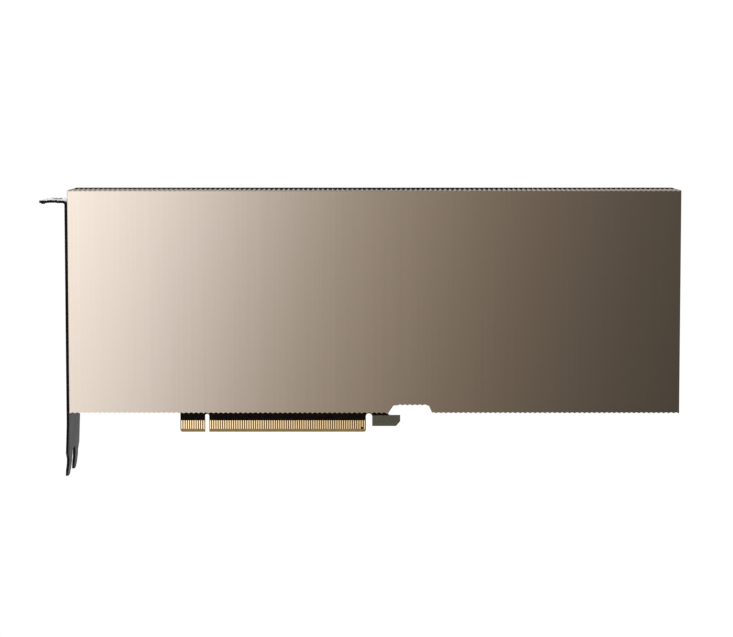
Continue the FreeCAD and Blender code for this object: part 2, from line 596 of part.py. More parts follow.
# ------------------------------------------------------------- vapour chamber
b = new_body("vapour_chamber")
add(b, "y", vc_y0, vc_y1, boxes([(vc_x0, vc_z0, vc_x1, vc_z1)]))
nm = edges_of(b.Tip.Shape, lambda e: upright(e, [(x, None, z) for x in (vc_x0.v, vc_x1.v) for z in (vc_z0.v, vc_z1.v)], "y"))
dress(b, "Fillet", nm, "Radius", 4.0)
paste_y = -di_y - 0.1
add(b, "y", vc_y1 - 0.1, paste_y, boxes([(gp_x - 23.0, gp_z - 20.0, gp_x + 23.0, gp_z + 20.0)]))
add(b, "y", vc_y1 - 0.1, q(-0.4), rings(spring_pts, 3.0))
cut(b, "y", q(-9.6), 1, rings(spring_pts, sc_r))

# ------------------------------------------------------------------ fin stack
b = new_body("fin_stack")
add(b, "y", vc_y0 - 0.4, vc_y0, boxes([(vc_x0, vc_z0, vc_x1, vc_z1)]))
f = add(b, "y", fn_y0, vc_y0 - 0.2, boxes([(vc_x0, vc_z0, vc_x1, vc_z0 + fn_t)]))
pattern(b, [f], "z", fn_n, (vc_z1 - vc_z0 - fn_t) / (fn_n - 1))

# ---------------------------------------------------- processor and its parts
b = new_body("package_substrate")
add(b, "y", -gp_y, 0, boxes([(gp_x - gp_s, gp_z - gp_s, gp_x + gp_s, gp_z + gp_s)]))
b = new_body("package_stiffener")
add(b, "y", -di_y - 0.1, -gp_y, boxes([(gp_x - gp_s, gp_z - gp_s, gp_x + gp_s, gp_z + gp_s)]))
cut(b, "y", -di_y - 1, 0, boxes([(gp_x - 23.5, gp_z - 23.5, gp_x + 23.5, gp_z + 23.5)]))
b = new_body("processor_die")
add(b, "y", -di_y, -gp_y, boxes([(gp_x - 13.0, gp_z - 16.0, gp_x + 13.0, gp_z + 16.0)]))
b = new_body("memory_stacks")
add(b, "y", -di_y, -gp_y, boxes([(gp_x + sx - 4.2, gp_z + dz - 5.25, gp_x + sx + 4.2, gp_z + dz + 5.25)
                                for sx in (-18.6, 18.6) for dz in (-11.75, 0.0, 11.75)]))
b = new_body("thermal_paste")
add(b, "y", paste_y, -di_y, boxes([(gp_x - 12.8, gp_z - 15.8, gp_x + 12.8, gp_z + 15.8)] + [
    (gp_x + sx - 4.0, gp_z + dz - 5.0, gp_x + sx + 4.0, gp_z + dz + 5.0)
    for sx in (-18.6, 18.6) for dz in (-11.75, 0.0, 11.75)]))

# --------------------------------------------------------- parts on the board
coil_z = [27.5 + 9.0 * k for k in range(8)]
b = new_body("inductors")
add(b, "y", q(-5.0), 0, boxes([(q(x - 3.5), q(z - 3.5), q(x + 3.5), q(z + 3.5)) for x in (11.5, 109.5) for z in coil_z]))
nm = edges_of(b.Tip.Shape, lambda e: upright(e, [(x + sx, None, z + sz) for x in (11.5, 109.5) for z in coil_z
                                                for sx in (-3.5, 3.5) for sz in (-3.5, 3.5)], "y"))
dress(b, "Fillet", nm, "Radius", 0.8)
b = new_body("power_stages")
add(b, "y", q(-1.0), 0, boxes([(q(x - 2.5), q(z - 3.0), q(x + 2.5), q(z + 3.0)) for x in (19.75, 101.25) for z in coil_z]))
b = new_body("thermal_pads")
add(b, "y", mp_y1, q(-5.0), boxes([(q(8.0), q(24.0), q(15.0), q(94.0)), (q(106.0), q(24.0), q(113.0), q(94.0))]))
add(b, "y", q(-2.0), q(-1.0), boxes([(q(17.2), q(24.0), q(22.3), q(94.0)), (q(98.7), q(24.0), q(103.8), q(94.0))]))
b = new_body("polymer_capacitors")
add(b, "y", q(-2.8), 0, boxes([(q(x - 2.1), q(z - 3.6), q(x + 2.1), q(z + 3.6)) for x in (3.6, 118.5) for z in coil_z]))
b = new_body("ceramic_capacitors")
add(b, "y", pcb_t, pcb_t + 0.8, boxes([(gp_x + dx - 0.8, gp_z + dz - 0.4, gp_x + dx + 0.8, gp_z + dz + 0.4)
                                      for dx in (-15.0, -9.0, -3.0, 3.0, 9.0, 15.0) for dz in (-15.0, -9.0, -3.0, 3.0, 9.0, 15.0)]))
b = new_body("controller_chips")
add(b, "y", q(-0.9), 0, boxes([(q(144.0), q(30.0), q(151.0), q(37.0)), (q(144.0), q(48.0), q(151.0), q(55.0))]))
b = new_body("management_chip")
add(b, "y", q(-1.2), 0, boxes([(q(158.0), q(60.0), q(172.0), q(74.0))]))
b = new_body("flash_chip")
add(b, "y", q(-1.6), 0, boxes([(q(158.0), q(44.0), q(163.0), q(52.0))]))
b = new_body("input_inductors")
add(b, "y", q(-5.6), 0, boxes([(q(168.0), q(80.0), q(179.0), q(91.0)), (q(168.0), q(26.0), q(179.0), q(37.0))]))
nm = edges_of(b.Tip.Shape, lambda e: upright(e, [(x, None, z) for x in (168.0, 179.0) for z in (80.0, 91.0, 26.0, 37.0)], "y"))
dress(b, "Fillet", nm, "Radius", 1.2)

# ------------------------------------------------------------ power connector
b = new_body("power_connector")
cell_z = [pc_z + pc_p * k for k in (-1.5, -0.5, 0.5, 1.5)]
cell_y = [q(-3.2), q(-7.4)]
add(b, "x", pc_x0, pc_x1, boxes([(q(-10.6), pc_z - 9.2, q(0), pc_z + 9.2)]))
cut(b, "x", pc_x0 + 8.0, pc_x1 + 1, boxes([(y - 1.85, z - 1.85, y + 1.85, z + 1.85) for y in cell_y for z in cell_z]))
add(b, "x", pc_x1 - 6.0, pc_x1 - 2.5, boxes([(q(-11.9), pc_z - 3.0, q(-10.5), pc_z + 3.0)]))
b = new_body("power_pins")
add(b, "x", pc_x0 + 8.0, pc_x1 - 2.0, rings([(y, z) for y in cell_y for z in cell_z], 0.6))


# -------------------------------------------------------------------- screws
def screws(label, pts, tip):
    s = new_body(label)
    add(s, "y", tip, bp_y1 - sc_k + 0.05, rings(pts, sc_r))
    add(s, "y", bp_y1 - sc_k, bp_y1, rings(pts, sc_h))
    cut(s, "y", bp_y1 - 0.5, bp_y1 + 1, lambda k: [hexagon(k, x, z, 1.0) for x, z in pts])
    return s


screws("cover_screws", cover_pts, q(-16.0))
screws("end_frame_screws", end_pts, q(-13.8))
screws("backplate_screws", plate_pts, q(-5.0))

b = new_body("bracket_screws")
pts4 = bracket_hi + bracket_lo
hd_r = q(2.22)
add(b, "x", bx0 + 0.5, cov_x0 + 6.5, rings(pts4, sc_r))
add(b, "x", bx0, bx0 + 1.0, rings(pts4, hd_r))
nm = edges_of(b.Tip.Shape, lambda e: e.Curve.TypeId == "Part::GeomCircle" and at(e.Curve.Radius, hd_r.v)
              and at(e.BoundBox.XMin, bx0.v + 1.0) and at(e.BoundBox.XMax, bx0.v + 1.0))
if len(nm) != 4:
    raise RuntimeError("flat heads: %d rims found" % len(nm))
dress(b, "Chamfer", nm, "Size", 0.92)
cut(b, "x", bx0 - 1, bx0 + 0.6, lambda s: [hexagon(s, y, z, 1.05) for y, z in pts4])

b = new_body("heatsink_screws")
add(b, "y", q(-9.0), q(3.25), rings(spring_pts, sc_r))
add(b, "y", q(3.2), q(3.9), rings(spring_pts, 2.9))
cut(b, "y", q(3.5), q(5.0), lambda s: [hexagon(s, x, z, 1.1) for x, z in spring_pts])

# Coil springs of the sprung screws: swept helices with closed flat seats.
wire_r, coil_r, h0, h1 = 0.30, 2.05, pcb_t.v + 0.30, 3.2 - 0.30
coils = []
for x, z in spring_pts:
    helix = Part.makeHelix((h1 - h0) / 3.0, h1 - h0, coil_r)
    prof = Part.Wire([Part.Circle(Vector(coil_r, 0, 0), Vector(0, 1, 0), wire_r).toShape()])
    pipe = Part.Wire(helix.Edges).makePipeShell([prof], True, True)
    sol = Part.Solid(pipe) if pipe.ShapeType != "Solid" else pipe
    sol.rotate(Vector(0, 0, 0), Vector(1, 0, 0), -90)
    sol.translate(Vector(x.v, h0, z.v))
    coils.append(sol)
spring = doc.addObject("Part::Feature", "heatsink_springs")
spring.Label = "heatsink_springs"
spring.Shape = Part.makeCompound(coils)
spring.Placement = Placement()
nodes.append(spring)

# -------------------------------------------------------------------- export
doc.recompute()
bad = [o.Label for o in doc.Objects if "Invalid" in o.State or "Error" in o.State]
if bad:
    raise SystemExit("failed objects: " + ", ".join(bad))
os.makedirs("parts", exist_ok=True)
for n in nodes:
    sh = n.Shape
    if sh.isNull() or not sh.isValid() or not sh.Solids:
        raise SystemExit("bad shape: " + n.Label)
for n in nodes:
    sh = n.Shape
    n.Shape.exportStep("parts/%s.step" % n.Label)
    bb = sh.BoundBox
    print("%-20s solids %3d faces %4d vol %9.1f  x %.2f..%.2f y %.2f..%.2f z %.2f..%.2f" % (
        n.Label, len(sh.Solids), len(sh.Faces), sh.Volume, bb.XMin, bb.XMax, bb.YMin, bb.YMax, bb.ZMin, bb.ZMax))
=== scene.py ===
import math
import json

import bpy
import bmesh
from mathutils import Vector, Matrix


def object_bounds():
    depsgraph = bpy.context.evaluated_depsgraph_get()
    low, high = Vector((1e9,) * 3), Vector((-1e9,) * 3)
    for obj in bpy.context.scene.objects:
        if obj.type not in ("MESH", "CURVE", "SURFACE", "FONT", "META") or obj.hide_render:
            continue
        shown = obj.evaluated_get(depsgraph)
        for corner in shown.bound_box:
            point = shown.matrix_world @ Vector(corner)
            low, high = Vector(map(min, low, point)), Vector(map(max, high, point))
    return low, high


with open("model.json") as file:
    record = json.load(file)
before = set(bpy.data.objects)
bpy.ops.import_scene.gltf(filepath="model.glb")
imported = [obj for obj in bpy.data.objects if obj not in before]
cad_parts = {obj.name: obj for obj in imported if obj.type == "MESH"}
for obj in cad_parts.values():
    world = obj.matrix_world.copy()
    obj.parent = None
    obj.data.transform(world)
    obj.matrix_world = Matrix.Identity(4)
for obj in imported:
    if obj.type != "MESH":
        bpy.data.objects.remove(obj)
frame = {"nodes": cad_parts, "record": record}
lo0, hi0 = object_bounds()
CAD_BOX = [list(map(float, lo0)), list(map(float, hi0))]
N = frame["nodes"]
MM = 0.001


# ------------------------------------------------------------------ node tools
class Mat:
    """A small helper round one procedural material."""

    def __init__(self, name):
        self.m = bpy.data.materials.new(name)
        self.m.use_nodes = True
        self.t = self.m.node_tree
        self.n = self.t.nodes
        self.n.clear()
        self.out = self.n.new("ShaderNodeOutputMaterial")
        self.p = self.n.new("ShaderNodeBsdfPrincipled")
        self.t.links.new(self.p.outputs[0], self.out.inputs[0])
        self.tc = self.n.new("ShaderNodeTexCoord")
        self.geo = None

    def set(self, **kw):
        names = {"color": "Base Color", "metal": "Metallic", "rough": "Roughness", "spec": "Specular IOR Level",
                 "ior": "IOR", "coat": "Coat Weight", "coat_rough": "Coat Roughness", "aniso": "Anisotropic",
                 "sheen": "Sheen Weight"}
        for k, v in kw.items():
            s = self.p.inputs[names[k]]
            s.default_value = (tuple(v) + (1.0,)) if k == "color" else v
        return self

    def link(self, a, b):
        self.t.links.new(a, b)

    def to(self, out, name):
        self.t.links.new(out, self.p.inputs[name])

    def coords(self, scale=(1, 1, 1), loc=(0, 0, 0), rot=(0, 0, 0)):
        mp = self.n.new("ShaderNodeMapping")
        mp.inputs["Scale"].default_value = scale
        mp.inputs["Location"].default_value = loc
        mp.inputs["Rotation"].default_value = rot
        self.link(self.tc.outputs["Object"], mp.inputs["Vector"])
        return mp.outputs["Vector"]

    def noise(self, vec, scale=1.0, detail=2.0, rough=0.5, dist=0.0):
        x = self.n.new("ShaderNodeTexNoise")
        x.inputs["Scale"].default_value = scale
        x.inputs["Detail"].default_value = detail
        x.inputs["Roughness"].default_value = rough
        x.inputs["Distortion"].default_value = dist
        self.link(vec, x.inputs["Vector"])
        return x.outputs["Fac"]

    def voro(self, vec, scale=1.0, feature="F1"):
        x = self.n.new("ShaderNodeTexVoronoi")
        x.feature = feature
        x.inputs["Scale"].default_value = scale
        self.link(vec, x.inputs["Vector"])
        return x.outputs["Distance"]

    def ramp(self, fac, stops):
        r = self.n.new("ShaderNodeValToRGB")
        el = r.color_ramp.elements
        while len(el) > 1:
            el.remove(el[-1])
        el[0].position = stops[0][0]
        el[0].color = self.col(stops[0][1])
        for pos, c in stops[1:]:
            e = el.new(pos)
            e.color = self.col(c)
        self.link(fac, r.inputs["Fac"])
        return r.outputs["Color"]

    @staticmethod
    def col(c):
        return (c, c, c, 1.0) if isinstance(c, (int, float)) else tuple(c) + (1.0,)

    def math(self, op, a, b=None, clamp=False):
        x = self.n.new("ShaderNodeMath")
        x.operation = op
        x.use_clamp = clamp
        for i, v in enumerate((a, b)):
            if v is None:
                continue
            if isinstance(v, (int, float)):
                x.inputs[i].default_value = v
            else:
                self.link(v, x.inputs[i])
        return x.outputs[0]

    def rng(self, v, a, b, c, d):
        x = self.n.new("ShaderNodeMapRange")
        x.inputs["From Min"].default_value = a
        x.inputs["From Max"].default_value = b
        x.inputs["To Min"].default_value = c
        x.inputs["To Max"].default_value = d
        self.link(v, x.inputs["Value"])
        return x.outputs["Result"]

    def mix(self, fac, a, b, blend="MIX"):
        x = self.n.new("ShaderNodeMix")
        x.data_type = "RGBA"
        x.blend_type = blend
        for i, v in ((0, fac), (6, a), (7, b)):
            if isinstance(v, (int, float)):
                x.inputs[i].default_value = v if i == 0 else (v, v, v, 1)
            elif isinstance(v, tuple):
                x.inputs[i].default_value = self.col(v)
            else:
                self.link(v, x.inputs[i])
        return x.outputs[2]

    def bump(self, h, strength=0.2, dist=0.0001, normal=None):
        x = self.n.new("ShaderNodeBump")
        x.inputs["Strength"].default_value = strength
        x.inputs["Distance"].default_value = dist
        self.link(h, x.inputs["Height"])
        if normal is not None:
            self.link(normal, x.inputs["Normal"])
        return x.outputs["Normal"]

    def edge(self, size=0.0004):
        """1 on sharp edges, 0 on flat areas."""
        b = self.n.new("ShaderNodeBevel")
        b.samples = 4
        b.inputs["Radius"].default_value = size
        g = self.n.new("ShaderNodeNewGeometry")
        d = self.n.new("ShaderNodeVectorMath")
        d.operation = "DOT_PRODUCT"
        self.link(b.outputs["Normal"], d.inputs[0])
        self.link(g.outputs["Normal"], d.inputs[1])
        return self.rng(d.outputs["Value"], 0.995, 0.85, 0.0, 1.0)


# ------------------------------------------------------------------- materials
def bronze():
    """Champagne-bronze anodised aluminium with a long vertical brushing."""
    m = Mat("bronze_cover").set(color=(0.60, 0.47, 0.355), metal=1.0, rough=0.30, aniso=0.5)
    fine = m.noise(m.coords(scale=(4300, 900, 30)), 1.0, 2.0, 0.6)
    mid = m.noise(m.coords(scale=(1350, 300, 7), loc=(3.1, 0.7, 1.3)), 1.0, 3.0, 0.65)
    wide = m.noise(m.coords(scale=(240, 60, 2.5), loc=(9.1, 2.7, 0.3)), 1.0, 2.0, 0.5)
    s = m.math("ADD", m.math("MULTIPLY", mid, 0.75), m.math("MULTIPLY", wide, 0.25))
    col = m.ramp(s, [(0.36, (0.588, 0.460, 0.347)), (0.50, (0.600, 0.470, 0.355)), (0.64, (0.612, 0.480, 0.363))])
    sp = m.n.new("ShaderNodeSeparateXYZ")
    m.link(m.tc.outputs["Object"], sp.inputs[0])
    z = m.math("MULTIPLY", sp.outputs["Z"], 1000.0)
    # flutes of the long walls: as milled, smoother; their colour carries painted shade down in the valleys and a
    # painted highlight on the cusps
    back = m.math("GREATER_THAN", sp.outputs["Y"], -0.03455)
    top = m.math("MULTIPLY", m.math("GREATER_THAN", z, 110.60), back)
    low = m.math("MULTIPLY", m.math("LESS_THAN", z, 13.42), back)
    wall = m.math("MAXIMUM", top, low)
    depth = m.math("MAXIMUM", m.math("MULTIPLY", top, m.rng(z, 110.62, 111.05, 1.0, 0.0)), m.math("MULTIPLY", low, m.rng(z, 12.97, 13.40, 0.0, 1.0)))
    shade = m.mix(wall, 1.0, m.ramp(depth, [(0.0, 1.62), (0.14, 1.25), (0.34, 0.55), (0.60, 0.24), (1.0, 0.14)]))
    # painted light on the small round along the front edge where the cusps end: a painted highlight along the bottom
    # edge, painted shade along the top edge
    painted_edge_mask = m.math("MULTIPLY", m.math("SUBTRACT", 1.0, back), m.math("MAXIMUM", m.rng(z, 110.35, 110.60, 0.0, 1.0), m.rng(z, 13.15, 13.40, 1.0, 0.0)))
    shade = m.mix(painted_edge_mask, shade, m.mix(m.math("GREATER_THAN", z, 60.0), 1.62, 0.80))
    m.to(m.mix(1.0, col, shade, "MULTIPLY"), "Base Color")
    r = m.math("ADD", m.rng(s, 0.36, 0.64, 0.0035, -0.0035), m.rng(fine, 0.3, 0.7, 0.31, 0.29))
    m.to(m.math("SUBTRACT", r, m.math("MULTIPLY", wall, 0.17)), "Roughness")
    tg = m.n.new("ShaderNodeCombineXYZ")
    tg.inputs[0].default_value = 1.0
    m.to(tg.outputs[0], "Tangent")
    m.to(m.bump(fine, 0.05, 0.00001), "Normal")
    return m.m


def black_metal(name, base=(0.018, 0.018, 0.019), rough=0.42, grain=9000.0, metal=0.6, spec=0.4, streaks=0.0, matt_painted_shade_above=None, mottle=1.0):
    m = Mat(name).set(color=base, metal=metal, rough=rough, spec=spec)
    v = m.coords()
    f = m.noise(v, grain, 2.0, 0.6)
    c = m.noise(v, 60.0, 3.0, 0.6)
    e = m.edge(0.00035)
    col = m.ramp(c, [(0.35, tuple(x * (1 - 0.18 * mottle) for x in base)), (0.65, tuple(x * (1 + 0.25 * mottle) for x in base))])
    shade = m.mix(m.math("MULTIPLY", e, 0.35), col, tuple(min(1, x * 4 + 0.03) for x in base))
    m.to(shade, "Base Color")
    r = m.math("ADD", m.rng(f, 0.3, 0.7, rough - 0.06, rough + 0.07), m.rng(c, 0.3, 0.7, -0.03, 0.03))
    if streaks:
        line = m.noise(m.coords(scale=(900, 420, 16)), 1.0, 3.0, 0.65)
        r = m.math("ADD", r, m.rng(line, 0.36, 0.64, -streaks, streaks))
    # above this height the surface is made matt, and its colour is darkened to 35% as painted shade on the upper face
    if matt_painted_shade_above is not None:
        sp = m.n.new("ShaderNodeSeparateXYZ")
        m.link(m.tc.outputs["Object"], sp.inputs[0])
        d = m.math("GREATER_THAN", sp.outputs["Z"], matt_painted_shade_above)
        r = m.math("MAXIMUM", r, m.math("MULTIPLY", d, 0.97))
        col = m.mix(d, shade, tuple(x * 0.35 for x in base))
        m.to(col, "Base Color")
    m.to(r, "Roughness")
    m.to(m.bump(f, 0.25, 0.00002), "Normal")
    return m.m


def simple(name, base, rough, metal=0.0, grain=4000.0, var=0.15, bump=0.1, spec=0.5, streak=None):
    m = Mat(name).set(color=base, metal=metal, rough=rough, spec=spec)
    v = m.coords() if streak is None else m.coords(scale=streak)
    f = m.noise(v, grain if streak is None else 1.0, 3.0, 0.6)
    c = m.noise(m.coords(), 90.0, 3.0, 0.6)
    k = m.math("ADD", m.math("MULTIPLY", f, 0.5), m.math("MULTIPLY", c, 0.5))
    m.to(m.ramp(k, [(0.35, tuple(x * (1 - var) for x in base)), (0.65, tuple(min(1.0, x * (1 + var)) for x in base))]), "Base Color")
    m.to(m.rng(f, 0.3, 0.7, max(0.02, rough - 0.07), rough + 0.07), "Roughness")
    m.to(m.bump(f, bump, 0.00002), "Normal")
    return m.m


def board():
    """Black solder mask; the bevelled and bare laminate near the card edge shows olive-brown."""
    m = Mat("board_resin").set(color=(0.010, 0.009, 0.011), rough=0.32, spec=0.5)
    v = m.coords()
    sp = m.n.new("ShaderNodeSeparateXYZ")
    m.link(m.tc.outputs["Object"], sp.inputs[0])
    weave = m.noise(m.coords(scale=(2600, 2600, 900)), 1.0, 2.0, 0.5)
    fine = m.noise(v, 5200.0, 2.0, 0.5)
    mask = m.ramp(m.noise(v, 140.0, 3.0, 0.6), [(0.35, (0.0060, 0.0038, 0.0032)), (0.65, (0.0088, 0.0056, 0.0046))])
    bare = m.ramp(weave, [(0.35, (0.217, 0.144, 0.050)), (0.65, (0.300, 0.206, 0.077))])
    hook = m.ramp(weave, [(0.35, (0.088, 0.088, 0.055)), (0.65, (0.123, 0.120, 0.077))])
    z = sp.outputs["Z"]
    x = sp.outputs["X"]
    low = m.math("LESS_THAN", z, 0.00140)
    onhook = m.math("MULTIPLY", m.math("GREATER_THAN", x, 0.0740), m.math("LESS_THAN", z, 0.00755))
    col = m.mix(low, mask, bare)
    col = m.mix(onhook, col, hook)
    m.to(col, "Base Color")
    rest = m.math("MAXIMUM", low, onhook)
    m.to(m.math("ADD", m.rng(fine, 0.3, 0.7, 0.27, 0.36), m.math("MULTIPLY", rest, 0.30)), "Roughness")
    m.to(m.bump(m.math("ADD", m.math("MULTIPLY", fine, 0.3), m.math("MULTIPLY", weave, 0.7)), 0.12, 0.00002), "Normal")
    return m.m


def gold():
    m = Mat("gold_contacts").set(color=(0.93, 0.66, 0.31), metal=1.0, rough=0.28)
    v = m.coords(scale=(4000, 4000, 260))
    f = m.noise(v, 1.0, 3.0, 0.6)
    face = m.ramp(f, [(0.30, (0.84, 0.59, 0.32)), (0.70, (0.93, 0.715, 0.42))])
    # the pads stand on a 1.00 mm pitch: bright along the middle, with painted shade darkening each pad to brown
    # towards its sides
    sp = m.n.new("ShaderNodeSeparateXYZ")
    m.link(m.tc.outputs["Object"], sp.inputs[0])
    off = m.math("ABSOLUTE", m.math("SUBTRACT", m.math("FRACT", m.math("ADD", m.math("MULTIPLY", sp.outputs["X"], 1000.0), 100.0)), 0.5))
    m.to(m.mix(m.rng(off, 0.20, 0.28, 0.0, 1.0), face, (0.29, 0.165, 0.045)), "Base Color")
    m.to(m.rng(f, 0.3, 0.7, 0.22, 0.34), "Roughness")
    m.to(m.bump(f, 0.15, 0.00001), "Normal")
    return m.m


MATS = {
    "bronze_cover": bronze(),
    "black_frame": black_metal("black_frame", (0.014, 0.014, 0.015), 0.55, 9000.0, 0.0, 0.15, matt_painted_shade_above=0.11095),
    "black_plate": black_metal("black_plate", (0.018, 0.018, 0.019), 0.50, 7000.0, 0.0, 0.3, mottle=0.3),
    "black_steel": black_metal("black_steel", (0.012, 0.012, 0.0125), 0.34, 5000.0, 0.5, streaks=0.07),
    "black_screws": black_metal("black_screws", (0.020, 0.020, 0.021), 0.36, 8000.0, 0.8),
    "board_resin": board(),
    "gold_contacts": gold(),
    "copper": simple("copper", (0.72, 0.40, 0.27), 0.34, 1.0, streak=(60, 3000, 3000)),
    "fin_aluminium": simple("fin_aluminium", (0.72, 0.73, 0.74), 0.33, 1.0, streak=(40, 2500, 2500)),
    "package_resin": simple("package_resin", (0.03, 0.10, 0.05), 0.45),
    "nickel_frame": simple("nickel_frame", (0.60, 0.58, 0.54), 0.30, 1.0, streak=(2500, 2500, 50)),
    "silicon": simple("silicon", (0.10, 0.10, 0.12), 0.12),
    "thermal_paste": simple("thermal_paste", (0.45, 0.45, 0.46), 0.7),
    "ferrite": simple("ferrite", (0.06, 0.06, 0.064), 0.6, bump=0.3),
    "chip_resin": simple("chip_resin", (0.02, 0.02, 0.021), 0.5, bump=0.25),
    "pad_silicone": simple("pad_silicone", (0.50, 0.40, 0.43), 0.75),
    "capacitor_case": simple("capacitor_case", (0.05, 0.047, 0.045), 0.5),
    "tan_ceramic": simple("tan_ceramic", (0.40, 0.29, 0.19), 0.5),
    "connector_nylon": simple("connector_nylon", (0.014, 0.014, 0.015), 0.48, bump=0.25, grain=2500.0),
    "tinned_pins": simple("tinned_pins", (0.72, 0.70, 0.66), 0.25, 1.0),
    "screw_steel": simple("screw_steel", (0.50, 0.50, 0.51), 0.32, 1.0),
    "spring_steel": simple("spring_steel", (0.46, 0.46, 0.47), 0.30, 1.0),
}
SLOT = {s["node"]: s["material_slot"] for s in frame["record"]["subparts"]}
for name, o in N.items():
    o.data.materials.clear()
    o.data.materials.append(MATS[SLOT[name]])

# ----------------------------------------------------------------------- stage
def mat_plain(name, color, rough):
    m = Mat(name).set(color=color, rough=rough, spec=0.2)
    f = m.noise(m.coords(), 30.0, 3.0, 0.6)
    m.to(m.ramp(f, [(0.3, tuple(c * 0.99 for c in color)), (0.7, tuple(min(1, c * 1.01) for c in color))]), "Base Color")
    return m.m


def plane(name, pts, mat):
    me = bpy.data.meshes.new(name)
    me.from_pydata([Vector(p) for p in pts], [], [tuple(range(len(pts)))])
    o = bpy.data.objects.new(name, me)
    bpy.context.scene.collection.objects.link(o)
    me.materials.append(mat)
    return o


FLOOR_Z = CAD_BOX[0][2]
SURROUND = 1.02


def light_path_mix(t, fac_name, off, on):
    lp = t.nodes.new("ShaderNodeLightPath")
    mx = t.nodes.new("ShaderNodeMixShader")
    t.links.new(lp.outputs[fac_name], mx.inputs[0])
    t.links.new(off, mx.inputs[1])
    t.links.new(on, mx.inputs[2])
    return mx.outputs[0]


floor_mat = mat_plain("floor_paint", (0.9, 0.9, 0.9), 0.6)
ft = floor_mat.node_tree
fe = ft.nodes.new("ShaderNodeEmission")
fe.inputs["Color"].default_value = (1.0, 1.0, 1.0, 1.0)
fe.inputs["Strength"].default_value = SURROUND
fo = [n for n in ft.nodes if n.type == "OUTPUT_MATERIAL"][0]
fp = [n for n in ft.nodes if n.type == "BSDF_PRINCIPLED"][0]
fb = ft.nodes.new("ShaderNodeEmission")
fb.inputs["Color"].default_value = (1.0, 1.0, 1.0, 1.0)
fb.inputs["Strength"].default_value = 0.9
fs = ft.nodes.new("ShaderNodeAddShader")
ft.links.new(fp.outputs[0], fs.inputs[0])
ft.links.new(fb.outputs[0], fs.inputs[1])
ft.links.new(light_path_mix(ft, "Is Camera Ray", fs.outputs[0], fe.outputs[0]), fo.inputs[0])
floor = plane("floor", [(-30, -30, FLOOR_Z), (30, -30, FLOOR_Z), (30, 30, FLOOR_Z), (-30, 30, FLOOR_Z)], floor_mat)
floor.visible_glossy = False

# World: a clean white surround for the camera, an even pale dome for matt
# surfaces, and a softer room for polished ones (bright rear wall and left
# side, darker right side and floor).
w = bpy.data.worlds.new("studio")
bpy.context.scene.world = w
w.use_nodes = True
wt = w.node_tree
wt.nodes.clear()
w_out = wt.nodes.new("ShaderNodeOutputWorld")
w_cam = wt.nodes.new("ShaderNodeBackground")
w_cam.inputs[1].default_value = SURROUND
w_dif = wt.nodes.new("ShaderNodeBackground")
w_dif.inputs[1].default_value = 0.60
w_gls = wt.nodes.new("ShaderNodeBackground")
for b in (w_cam, w_dif, w_gls):
    b.inputs[0].default_value = (1.0, 1.0, 1.0, 1.0)
w_tc = wt.nodes.new("ShaderNodeTexCoord")
w_sp = wt.nodes.new("ShaderNodeSeparateXYZ")
wt.links.new(w_tc.outputs["Generated"], w_sp.inputs[0])


def w_rng(sock, a, b, c, d):
    r = wt.nodes.new("ShaderNodeMapRange")
    for k, v in zip(("From Min", "From Max", "To Min", "To Max"), (a, b, c, d)):
        r.inputs[k].default_value = v
    wt.links.new(sock, r.inputs["Value"])
    return r.outputs["Result"]


def w_math(op, a, b):
    r = wt.nodes.new("ShaderNodeMath")
    r.operation = op
    wt.links.new(a, r.inputs[0])
    wt.links.new(b, r.inputs[1])
    return r.outputs[0]


def w_abs(sock, off=0.0):
    r = wt.nodes.new("ShaderNodeMath")
    r.operation = "SUBTRACT"
    r.inputs[1].default_value = off
    wt.links.new(sock, r.inputs[0])
    q = wt.nodes.new("ShaderNodeMath")
    q.operation = "ABSOLUTE"
    wt.links.new(r.outputs[0], q.inputs[0])
    return q.outputs[0]


wx, wy, wz = (w_sp.outputs[k] for k in "XYZ")
g_up = w_rng(wz, -0.12, 0.65, 0.42, 1.25)
behind = w_math("MULTIPLY", w_rng(wy, 0.80, 0.95, 0.0, 1.0), w_rng(w_abs(wz, 0.03), 0.07, 0.14, 1.0, 0.0))
flags = w_math("MULTIPLY", w_rng(w_abs(wx), 0.82, 0.93, 0.0, 1.0), w_rng(w_abs(wz), 0.30, 0.60, 1.0, 0.0))
g = w_math("MULTIPLY", g_up, w_math("MULTIPLY", w_rng(behind, 0.0, 1.0, 1.0, 0.10), w_rng(flags, 0.0, 1.0, 1.0, 0.12)))
wt.links.new(g, w_gls.inputs[1])
first = light_path_mix(wt, "Is Glossy Ray", w_dif.outputs[0], w_gls.outputs[0])
wt.links.new(light_path_mix(wt, "Is Camera Ray", first, w_cam.outputs[0]), w_out.inputs[0])


